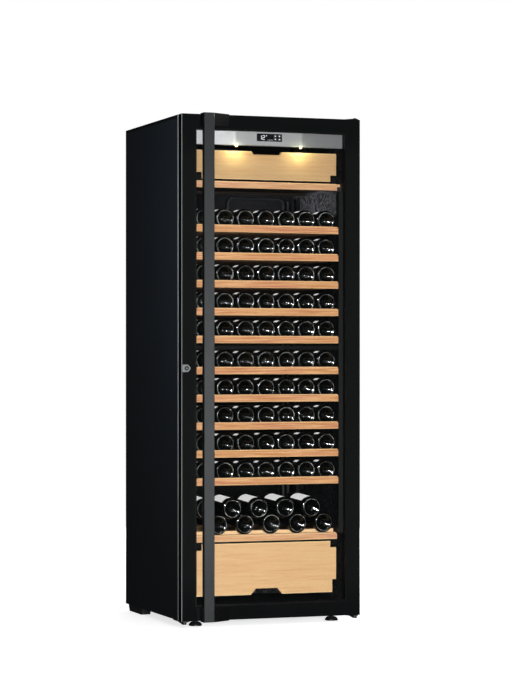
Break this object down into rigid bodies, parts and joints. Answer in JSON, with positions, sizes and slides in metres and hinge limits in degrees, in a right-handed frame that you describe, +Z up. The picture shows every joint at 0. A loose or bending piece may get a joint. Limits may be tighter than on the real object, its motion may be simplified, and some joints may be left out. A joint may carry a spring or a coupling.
{
  "type": "wine cooler",
  "caption": "Tall insulated wine cabinet with a full glass door, full-height grip, sliding beech shelves, storage shelf, two wooden flaps and a lit control fascia.",
  "frame": {"origin": "on the floor, under the centre of the overall box", "axes": "+Z up, front faces -Y, +X to the right as seen from the front"},
  "size_m": [0.68, 0.728, 1.8315],
  "materials": {
    "black_steel": "satin",
    "rear_steel": "matte",
    "foam": "matte",
    "liner_sheet": "satin",
    "black_moulding": "matte",
    "strip_plastic": "matte",
    "rail_steel": "satin",
    "cold_plate": "matte",
    "tube": "satin",
    "fan_plastic": "matte",
    "beech": "satin",
    "pale_beech": "satin",
    "brushed_fascia": "satin",
    "display": "gloss",
    "key": "matte",
    "lamp": "gloss",
    "clear_glass": "gloss",
    "spacer": "matte",
    "gasket_rubber": "matte",
    "grip_metal": "satin",
    "lock_metal": "polished",
    "bush": "satin",
    "foot_plastic": "satin",
    "skid_plastic": "matte",
    "compressor_black": "gloss",
    "condenser_black": "satin",
    "inlet_plastic": "satin",
    "zinc_screw": "satin"
  },
  "bodies": {
    "cabinet": {"side_panel_left": "black_steel", "side_panel_right": "black_steel", "top_panel": "black_steel", "hinge_plate_top": "black_steel", "hinge_plate_bottom": "black_steel", "corner_bracket": "black_steel", "rear_panel": "rear_steel", "base_plate": "rear_steel", "rear_grille": "rear_steel", "insulation": "foam", "inner_liner": "liner_sheet", "front_frame": "black_moulding", "middle_crossbar": "black_moulding", "flap_hinge_blocks": "black_moulding", "control_board": "black_moulding", "shelf_strips": "strip_plastic", "charcoal_filter": "strip_plastic", "slide_rails": "rail_steel", "evaporator_panel": "cold_plate", "refrigerant_lines": "tube", "fan_housing": "fan_plastic", "upper_shelf": "beech", "storage_shelf": "beech", "control_fascia": "brushed_fascia", "display_window": "display", "lamps": "lamp", "rear_skids": "skid_plastic", "compressor": "compressor_black", "condenser": "condenser_black", "power_inlet": "inlet_plastic", "screws": "zinc_screw"},
    "door": {"door_glass_outer": "clear_glass", "door_glass_inner": "clear_glass", "glass_spacer": "spacer", "door_frame": "black_moulding", "door_gasket": "gasket_rubber", "handle_bar": "grip_metal", "handle_end_blocks": "black_moulding", "lock_plate": "lock_metal", "hinge_bushes": "bush"},
    "lock": {"lock_cylinder": "lock_metal"},
    "fan": {"fan_rotor": "fan_plastic"},
    "upper_flap_body": {"upper_flap": "pale_beech"},
    "lower_flap_body": {"lower_flap": "pale_beech"},
    "key_up_body": {"key_up": "key"},
    "key_down_body": {"key_down": "key"},
    "key_light_body": {"key_light": "key"},
    "key_set_body": {"key_set": "key"},
    "foot_left_body": {"foot_left": "foot_plastic"},
    "foot_right_body": {"foot_right": "foot_plastic"},
    "sliding_shelf_01": {"shelf_01": "beech"},
    "sliding_shelf_02": {"shelf_02": "beech"},
    "sliding_shelf_03": {"shelf_03": "beech"},
    "sliding_shelf_04": {"shelf_04": "beech"},
    "sliding_shelf_05": {"shelf_05": "beech"},
    "sliding_shelf_06": {"shelf_06": "beech"},
    "sliding_shelf_07": {"shelf_07": "beech"},
    "sliding_shelf_08": {"shelf_08": "beech"},
    "sliding_shelf_09": {"shelf_09": "beech"},
    "sliding_shelf_10": {"shelf_10": "beech"}
  },
  "joints": [
    {"name": "door_hinge", "type": "hinge", "parent": "cabinet", "child": "door", "pos_m": [0.326, -0.31, 0.925], "axis": [0, 0, 1], "range_deg": [0, 115]},
    {"name": "lock_turn", "type": "hinge", "parent": "door", "child": "lock", "pos_m": [-0.323, -0.326, 0.922], "axis": [0, 1, 0], "range_deg": [0, 90]},
    {"name": "key_up_press", "type": "slide", "parent": "cabinet", "child": "key_up_body", "axis": [0, 1, 0], "range_m": [0, 0.0008], "stiffness_N_per_m": 400},
    {"name": "key_down_press", "type": "slide", "parent": "cabinet", "child": "key_down_body", "axis": [0, 1, 0], "range_m": [0, 0.0008], "stiffness_N_per_m": 400},
    {"name": "key_light_press", "type": "slide", "parent": "cabinet", "child": "key_light_body", "axis": [0, 1, 0], "range_m": [0, 0.0008], "stiffness_N_per_m": 400},
    {"name": "key_set_press", "type": "slide", "parent": "cabinet", "child": "key_set_body", "axis": [0, 1, 0], "range_m": [0, 0.0008], "stiffness_N_per_m": 400},
    {"name": "fan_spin", "type": "hinge", "parent": "cabinet", "child": "fan", "pos_m": [0, 0.239, 1.69], "axis": [0, 1, 0], "continuous": true},
    {"name": "upper_flap_tilt", "type": "hinge", "parent": "cabinet", "child": "upper_flap_body", "pos_m": [0, -0.261, 1.612], "axis": [1, 0, 0], "range_deg": [0, 20]},
    {"name": "lower_flap_tilt", "type": "hinge", "parent": "cabinet", "child": "lower_flap_body", "pos_m": [0, -0.261, 0.281], "axis": [-1, 0, 0], "range_deg": [0, 10]},
    {"name": "shelf_01_slide", "type": "slide", "parent": "cabinet", "child": "sliding_shelf_01", "axis": [0, -1, 0], "range_m": [0, 0.025]},
    {"name": "shelf_02_slide", "type": "slide", "parent": "cabinet", "child": "sliding_shelf_02", "axis": [0, -1, 0], "range_m": [0, 0.025]},
    {"name": "shelf_03_slide", "type": "slide", "parent": "cabinet", "child": "sliding_shelf_03", "axis": [0, -1, 0], "range_m": [0, 0.025]},
    {"name": "shelf_04_slide", "type": "slide", "parent": "cabinet", "child": "sliding_shelf_04", "axis": [0, -1, 0], "range_m": [0, 0.025]},
    {"name": "shelf_05_slide", "type": "slide", "parent": "cabinet", "child": "sliding_shelf_05", "axis": [0, -1, 0], "range_m": [0, 0.025]},
    {"name": "shelf_06_slide", "type": "slide", "parent": "cabinet", "child": "sliding_shelf_06", "axis": [0, -1, 0], "range_m": [0, 0.025]},
    {"name": "shelf_07_slide", "type": "slide", "parent": "cabinet", "child": "sliding_shelf_07", "axis": [0, -1, 0], "range_m": [0, 0.025]},
    {"name": "shelf_08_slide", "type": "slide", "parent": "cabinet", "child": "sliding_shelf_08", "axis": [0, -1, 0], "range_m": [0, 0.025]},
    {"name": "shelf_09_slide", "type": "slide", "parent": "cabinet", "child": "sliding_shelf_09", "axis": [0, -1, 0], "range_m": [0, 0.025]},
    {"name": "shelf_10_slide", "type": "slide", "parent": "cabinet", "child": "sliding_shelf_10", "axis": [0, -1, 0], "range_m": [0, 0.025]},
    {"name": "foot_left_height", "type": "slide", "parent": "cabinet", "child": "foot_left_body", "axis": [0, 0, -1], "range_m": [0, 0.012]},
    {"name": "foot_right_height", "type": "slide", "parent": "cabinet", "child": "foot_right_body", "axis": [0, 0, -1], "range_m": [0, 0.012]}
  ]
}
